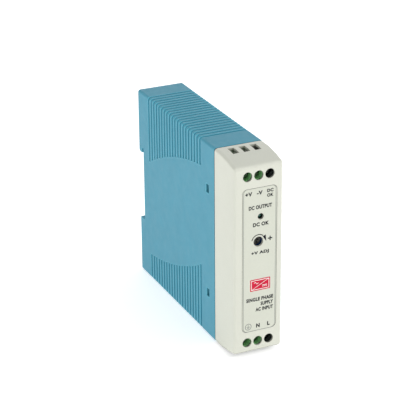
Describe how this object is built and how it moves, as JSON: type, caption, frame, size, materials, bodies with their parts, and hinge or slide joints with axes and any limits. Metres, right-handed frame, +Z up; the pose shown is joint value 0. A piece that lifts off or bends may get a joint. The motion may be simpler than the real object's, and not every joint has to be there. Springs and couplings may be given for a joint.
{
  "type": "din rail power supply",
  "caption": "Slim rail-mounted AC to DC power supply with a ribbed rear case, clipped front cover, screw clamp terminals, status lamp, voltage trimmer and sprung rail latch.",
  "frame": {"origin": "centre of the bounding box's bottom face", "axes": "+Z up, +Y to the back where the rail is, -Y out of the front cover, +X to the right seen from the front"},
  "size_m": [0.0226, 0.1, 0.09],
  "materials": {
    "case_blue": "fine moulded texture",
    "cover_white": "fine moulded texture",
    "label_film": "satin printed film",
    "latch_grey": "satin",
    "spring_steel": "bright drawn",
    "board_green": "solder mask over glass laminate",
    "insulation_film": "smooth film",
    "terminal_green": "satin moulding",
    "zinc_steel": "zinc plated",
    "tinned_brass": "tin plated",
    "led_green": "tinted clear resin",
    "black_plastic": "satin moulding compound",
    "trimmer_blue": "satin",
    "rotor_dark": "satin",
    "ferrite": "sintered, matt",
    "bobbin_black": "satin",
    "winding_tape": "glossy tape over wire",
    "capacitor_sleeve": "plastic sleeve over an aluminium can",
    "fuse_sleeve": "heat-shrink sleeve",
    "thermistor_green": "dipped coating",
    "film_yellow": "moulded box",
    "disc_blue": "dipped coating",
    "copper_wire": "enamelled copper",
    "heatsink_aluminium": "mill finish"
  },
  "bodies": {
    "housing": {"bridge_rectifier": "black_plastic", "bulk_capacitor": "capacitor_sleeve", "choke_core": "ferrite", "choke_winding_1": "copper_wire", "choke_winding_2": "copper_wire", "controller_chip": "black_plastic", "diode_clip": "spring_steel", "diode_heatsink": "heatsink_aluminium", "front_cover": "cover_white", "front_label": "label_film", "input_contact_1": "tinned_brass", "input_contact_2": "tinned_brass", "input_contact_3": "tinned_brass", "input_fuse": "fuse_sleeve", "input_terminal_block": "terminal_green", "inrush_thermistor": "thermistor_green", "insulation_sheet": "insulation_film", "latch_spring": "spring_steel", "led_holder": "black_plastic", "main_board": "board_green", "optocoupler": "black_plastic", "output_capacitor_1": "capacitor_sleeve", "output_capacitor_2": "capacitor_sleeve", "output_contact_1": "tinned_brass", "output_contact_2": "tinned_brass", "output_contact_3": "tinned_brass", "output_diode": "black_plastic", "output_inductor_core": "ferrite", "output_inductor_winding": "copper_wire", "output_terminal_block": "terminal_green", "rear_case": "case_blue", "status_led": "led_green", "switching_transistor": "black_plastic", "transformer_bobbin": "bobbin_black", "transformer_core_lower": "ferrite", "transformer_core_upper": "ferrite", "transformer_winding": "winding_tape", "transistor_clip": "spring_steel", "transistor_heatsink": "heatsink_aluminium", "trimmer_body": "trimmer_blue", "x_capacitor": "film_yellow", "y_capacitor": "disc_blue"},
    "latch": {"din_latch": "latch_grey"},
    "trimmer": {"trimmer_rotor": "rotor_dark"},
    "output_screw_1": {"output_screw_1": "zinc_steel"},
    "output_clamp_1": {"output_cage_1": "zinc_steel"},
    "output_screw_2": {"output_screw_2": "zinc_steel"},
    "output_clamp_2": {"output_cage_2": "zinc_steel"},
    "output_screw_3": {"output_screw_3": "zinc_steel"},
    "output_clamp_3": {"output_cage_3": "zinc_steel"},
    "input_screw_1": {"input_screw_1": "zinc_steel"},
    "input_clamp_1": {"input_cage_1": "zinc_steel"},
    "input_screw_2": {"input_screw_2": "zinc_steel"},
    "input_clamp_2": {"input_cage_2": "zinc_steel"},
    "input_screw_3": {"input_screw_3": "zinc_steel"},
    "input_clamp_3": {"input_cage_3": "zinc_steel"}
  },
  "joints": [
    {"name": "latch_slide", "type": "slide", "parent": "housing", "child": "latch", "axis": [0, 0, -1], "range_m": [0, 0.0045], "stiffness_N_per_m": 800, "springref_m": -0.003, "deforming": ["latch_spring"]},
    {"name": "trimmer_turn", "type": "hinge", "parent": "housing", "child": "trimmer", "pos_m": [0, -0.047, 0.0533], "axis": [0, 1, 0], "range_deg": [-120, 120]},
    {"name": "output_screw_1_turn", "type": "hinge", "parent": "housing", "child": "output_screw_1", "pos_m": [-0.00508, -0.0444, 0.083], "axis": [0, 1, 0], "range_deg": [0, 1440]},
    {"name": "output_clamp_1_rise", "type": "slide", "parent": "housing", "child": "output_clamp_1", "axis": [0, -1, 0], "range_m": [0, 0.002]},
    {"name": "output_screw_2_turn", "type": "hinge", "parent": "housing", "child": "output_screw_2", "pos_m": [0, -0.0444, 0.083], "axis": [0, 1, 0], "range_deg": [0, 1440]},
    {"name": "output_clamp_2_rise", "type": "slide", "parent": "housing", "child": "output_clamp_2", "axis": [0, -1, 0], "range_m": [0, 0.002]},
    {"name": "output_screw_3_turn", "type": "hinge", "parent": "housing", "child": "output_screw_3", "pos_m": [0.00508, -0.0444, 0.083], "axis": [0, 1, 0], "range_deg": [0, 1440]},
    {"name": "output_clamp_3_rise", "type": "slide", "parent": "housing", "child": "output_clamp_3", "axis": [0, -1, 0], "range_m": [0, 0.002]},
    {"name": "input_screw_1_turn", "type": "hinge", "parent": "housing", "child": "input_screw_1", "pos_m": [-0.00508, -0.0444, 0.007], "axis": [0, 1, 0], "range_deg": [0, 1440]},
    {"name": "input_clamp_1_rise", "type": "slide", "parent": "housing", "child": "input_clamp_1", "axis": [0, -1, 0], "range_m": [0, 0.002]},
    {"name": "input_screw_2_turn", "type": "hinge", "parent": "housing", "child": "input_screw_2", "pos_m": [0, -0.0444, 0.007], "axis": [0, 1, 0], "range_deg": [0, 1440]},
    {"name": "input_clamp_2_rise", "type": "slide", "parent": "housing", "child": "input_clamp_2", "axis": [0, -1, 0], "range_m": [0, 0.002]},
    {"name": "input_screw_3_turn", "type": "hinge", "parent": "housing", "child": "input_screw_3", "pos_m": [0.00508, -0.0444, 0.007], "axis": [0, 1, 0], "range_deg": [0, 1440]},
    {"name": "input_clamp_3_rise", "type": "slide", "parent": "housing", "child": "input_clamp_3", "axis": [0, -1, 0], "range_m": [0, 0.002]}
  ],
  "couplings": [
    {"joint": "output_screw_1_turn", "follows": "output_clamp_1_rise", "rad_per_m": 12566},
    {"joint": "output_screw_2_turn", "follows": "output_clamp_2_rise", "rad_per_m": 12566},
    {"joint": "output_screw_3_turn", "follows": "output_clamp_3_rise", "rad_per_m": 12566},
    {"joint": "input_screw_1_turn", "follows": "input_clamp_1_rise", "rad_per_m": 12566},
    {"joint": "input_screw_2_turn", "follows": "input_clamp_2_rise", "rad_per_m": 12566},
    {"joint": "input_screw_3_turn", "follows": "input_clamp_3_rise", "rad_per_m": 12566}
  ]
}
